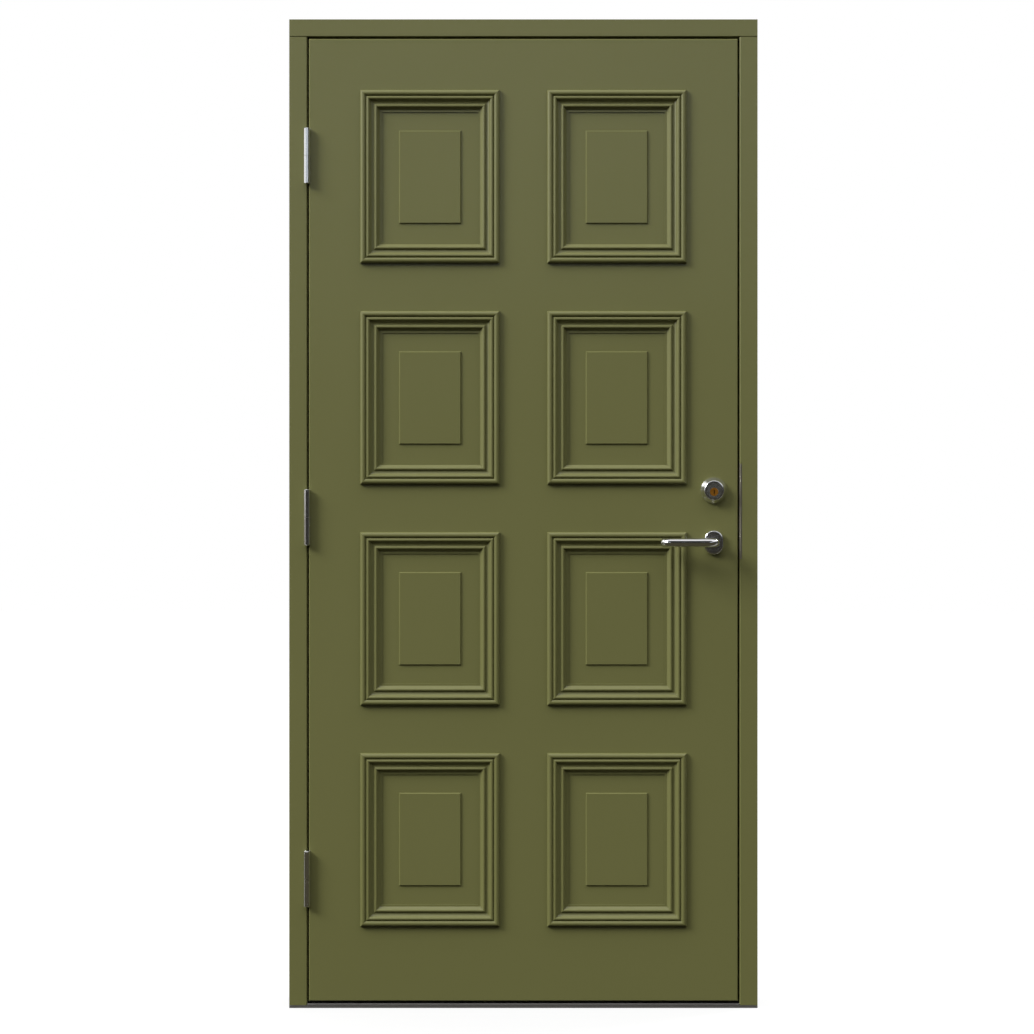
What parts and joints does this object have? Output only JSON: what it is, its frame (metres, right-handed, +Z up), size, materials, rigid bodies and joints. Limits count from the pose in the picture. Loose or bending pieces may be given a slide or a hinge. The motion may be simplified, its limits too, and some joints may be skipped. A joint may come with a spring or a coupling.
{
  "type": "panelled front door",
  "caption": "Insulated panelled front door hung in its rebated frame, with mitred bolection mouldings, lift-off hinges, a lever on each side and a cylinder lock.",
  "frame": {"origin": "middle of the sill's underside, at the middle of the frame's depth", "axes": "+Z up, +X to the right seen from outside, -Y towards the outside"},
  "size_m": [0.99, 0.1824, 2.09],
  "materials": {
    "paint": "satin",
    "insulation": "matte",
    "sill_metal": "satin",
    "seal": "matte",
    "polished_steel": "polished",
    "steel": "satin",
    "plug_brass": "satin"
  },
  "bodies": {
    "frame": {"frame_head": "paint", "hinge_jamb": "paint", "lock_jamb": "paint", "sill": "sill_metal", "seal_head": "seal", "seal_hinge_side": "seal", "seal_lock_side": "seal", "seal_sill": "seal", "strike_plate": "steel", "fixing_sleeves": "steel", "frame_screws": "steel", "hinge_pins": "steel", "hinge_top_frame_half": "polished_steel", "hinge_middle_frame_half": "polished_steel", "hinge_bottom_frame_half": "polished_steel"},
    "leaf": {"outer_skin": "paint", "inner_skin": "paint", "hinge_stile": "paint", "lock_stile": "paint", "top_rail": "paint", "bottom_rail": "paint", "insulation_core": "insulation", "panel_row1_left": "paint", "panel_row1_right": "paint", "panel_row2_left": "paint", "panel_row2_right": "paint", "panel_row3_left": "paint", "panel_row3_right": "paint", "panel_row4_left": "paint", "panel_row4_right": "paint", "moulding_row1_left": "paint", "moulding_row1_right": "paint", "moulding_row2_left": "paint", "moulding_row2_right": "paint", "moulding_row3_left": "paint", "moulding_row3_right": "paint", "moulding_row4_left": "paint", "moulding_row4_right": "paint", "hinge_top_leaf_half": "polished_steel", "hinge_middle_leaf_half": "polished_steel", "hinge_bottom_leaf_half": "polished_steel", "leaf_screws": "steel", "lock_case": "steel", "lock_faceplate": "steel", "outside_rose": "polished_steel", "inside_rose": "polished_steel", "rose_bolts": "steel", "cylinder_ring": "polished_steel", "cylinder_body": "steel", "turn_rose": "polished_steel"},
    "lever_set": {"outside_lever": "polished_steel", "inside_lever": "polished_steel", "spindle": "steel", "lock_follower": "steel"},
    "latch": {"latch_bolt": "steel"},
    "dead_bolt": {"dead_bolt": "steel"},
    "thumb_turn": {"thumb_turn": "polished_steel", "bolt_cam": "steel"},
    "key_plug": {"key_plug": "plug_brass"}
  },
  "joints": [
    {"name": "leaf_swing", "type": "hinge", "parent": "frame", "child": "leaf", "pos_m": [-0.457, -0.065, 1.03725], "axis": [0, 0, -1], "range_deg": [0, 170]},
    {"name": "lever_turn", "type": "hinge", "parent": "leaf", "child": "lever_set", "pos_m": [0.402, -0.0275, 0.984], "axis": [0, -1, 0], "range_deg": [0, 40], "stiffness_Nm_per_rad": 1.2, "springref_deg": -20.05},
    {"name": "latch_slide", "type": "slide", "parent": "leaf", "child": "latch", "axis": [-1, 0, 0], "range_m": [0, 0.011]},
    {"name": "turn", "type": "hinge", "parent": "leaf", "child": "thumb_turn", "pos_m": [0.402, 0.0105, 1.091], "axis": [0, 1, 0], "range_deg": [0, 90]},
    {"name": "bolt_slide", "type": "slide", "parent": "leaf", "child": "dead_bolt", "axis": [1, 0, 0], "range_m": [0, 0.02]},
    {"name": "key_turn", "type": "hinge", "parent": "leaf", "child": "key_plug", "pos_m": [0.402, -0.072, 1.091], "axis": [0, -1, 0], "range_deg": [-90, 90]}
  ],
  "couplings": [
    {"joint": "latch_slide", "follows": "lever_turn", "m_per_rad": 0.01575},
    {"joint": "bolt_slide", "follows": "turn", "m_per_rad": 0.0127}
  ]
}
